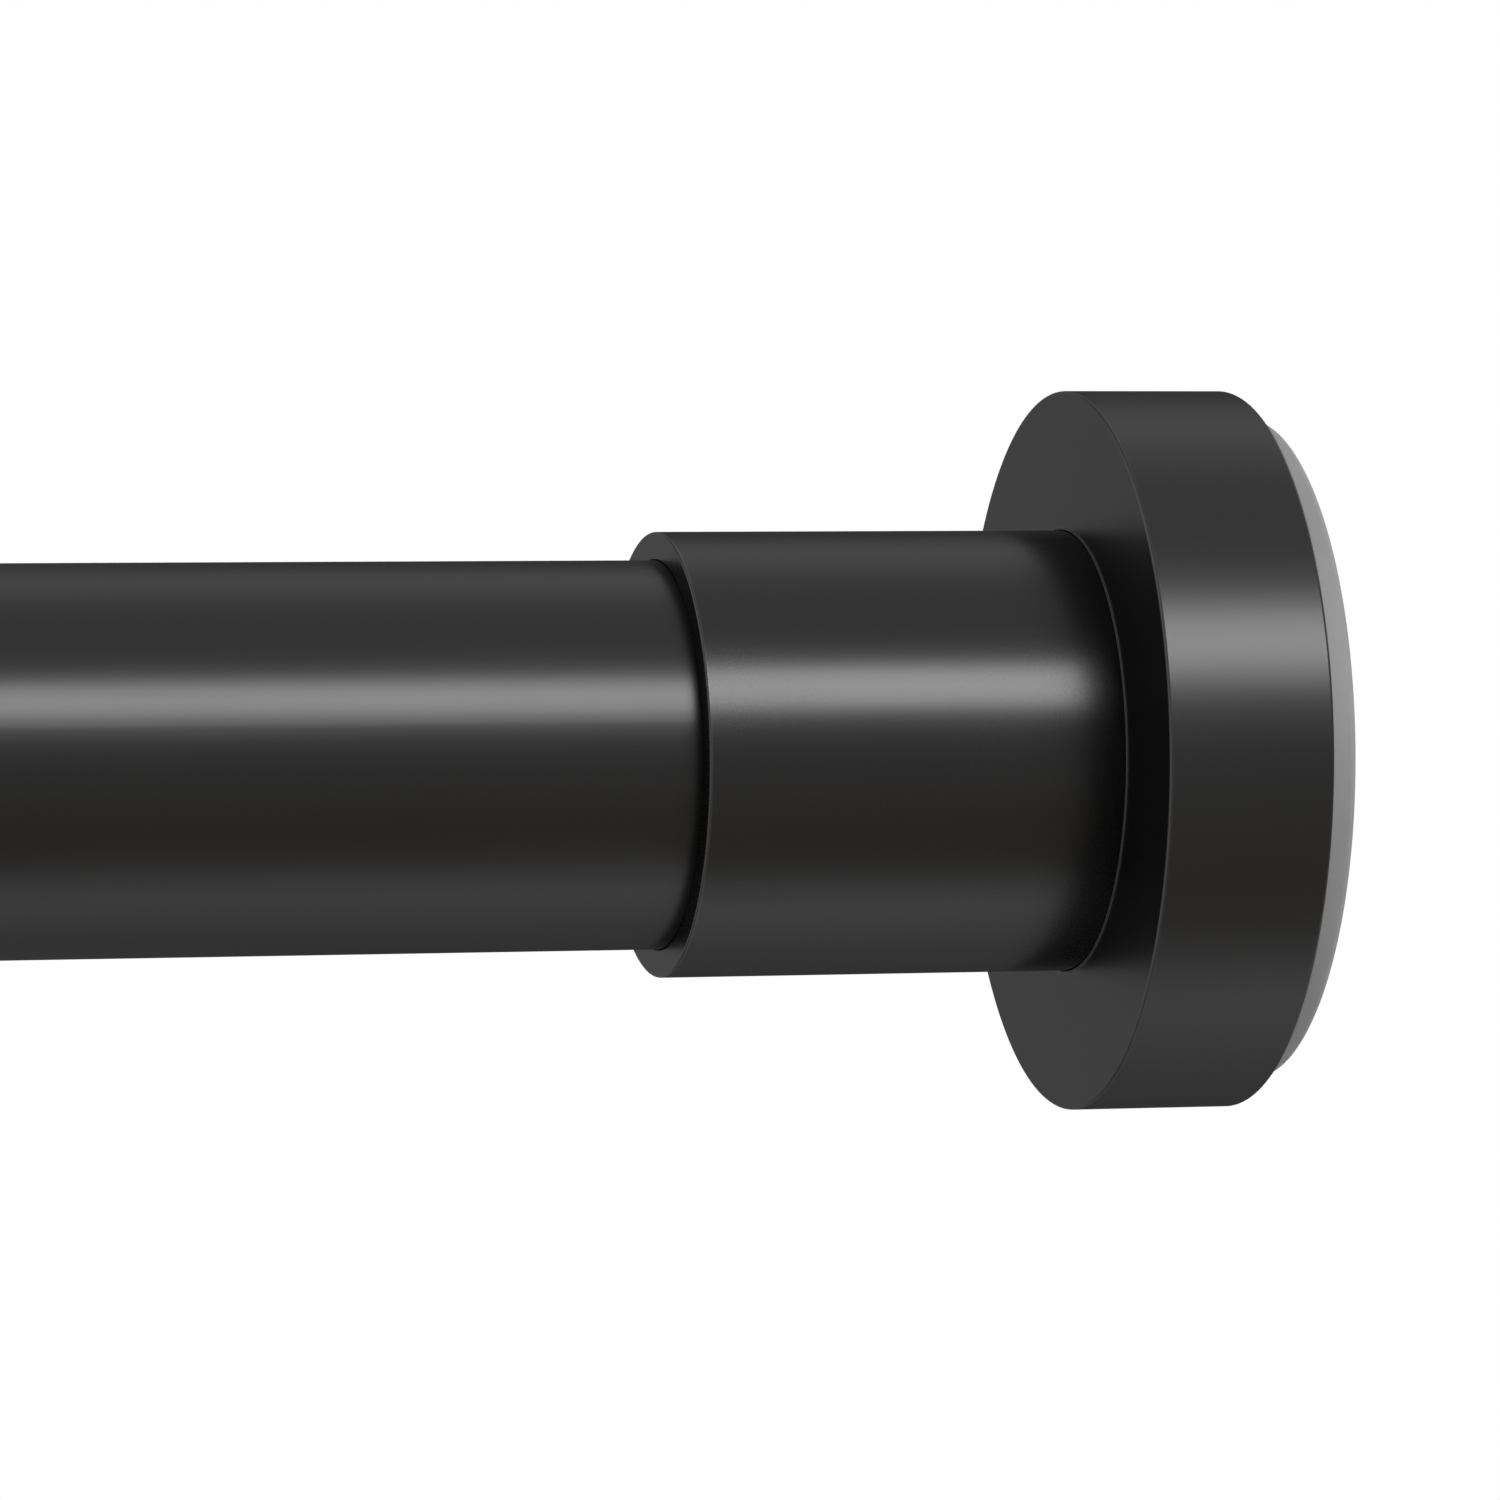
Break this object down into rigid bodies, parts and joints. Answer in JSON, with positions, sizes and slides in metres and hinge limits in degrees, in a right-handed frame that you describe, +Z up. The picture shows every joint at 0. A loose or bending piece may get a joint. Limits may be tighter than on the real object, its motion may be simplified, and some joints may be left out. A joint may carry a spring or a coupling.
{
  "type": "spring tension rod",
  "caption": "Telescoping round rod that a spring and a twist screw hold between two walls, with a padded round flange and a collar on each end.",
  "frame": {"origin": "centre of the wall face of the pad on the thick tube's end, which is the pictured end", "axes": "+X along the rod into the wall that the thick tube's end presses on, +Z up, so the rod runs along -X"},
  "size_m": [0.76, 0.0474, 0.0474],
  "materials": {
    "black_metal": "satin powder coat",
    "black_plastic": "satin",
    "grey_silicone": "matt",
    "white_plastic": "as moulded",
    "zinc_steel": "zinc plated",
    "spring_steel": "oiled spring wire"
  },
  "bodies": {
    "outer_rod": {"outer_tube": "black_metal", "mouth_bush": "black_plastic", "outer_flange": "black_plastic", "outer_collar": "black_metal", "outer_pad": "grey_silicone", "outer_end_plug": "white_plastic", "outer_end_washer": "zinc_steel", "outer_end_screw": "zinc_steel", "tension_spring": "spring_steel", "stop_washer": "zinc_steel", "stop_bolt": "zinc_steel"},
    "drive": {"spring_plunger": "white_plastic", "rod_anchor": "white_plastic", "anchor_bolt": "zinc_steel", "drive_screw": "white_plastic", "tip_guide": "white_plastic", "tip_bolt": "zinc_steel"},
    "far_end": {"inner_flange": "black_plastic", "inner_collar": "black_metal", "inner_pad": "grey_silicone"},
    "inner_rod": {"inner_tube": "black_metal", "travel_nut": "white_plastic", "inner_end_plug": "white_plastic", "swivel_bush": "zinc_steel", "inner_end_washer": "zinc_steel", "inner_end_screw": "zinc_steel"}
  },
  "joints": [
    {"name": "spring_press", "type": "slide", "parent": "outer_rod", "child": "drive", "axis": [1, 0, 0], "range_m": [0, 0.02], "stiffness_N_per_m": 6000, "springref_m": -0.005, "deforming": ["tension_spring"]},
    {"name": "extension", "type": "slide", "parent": "drive", "child": "far_end", "axis": [-1, 0, 0], "range_m": [-0.1, 0.307]},
    {"name": "twist", "type": "hinge", "parent": "far_end", "child": "inner_rod", "pos_m": [-0.7479, 0, 0], "axis": [-1, 0, 0], "range_deg": [-7200, 22104]}
  ],
  "couplings": [
    {"joint": "twist", "follows": "extension", "rad_per_m": 1256.6}
  ]
}
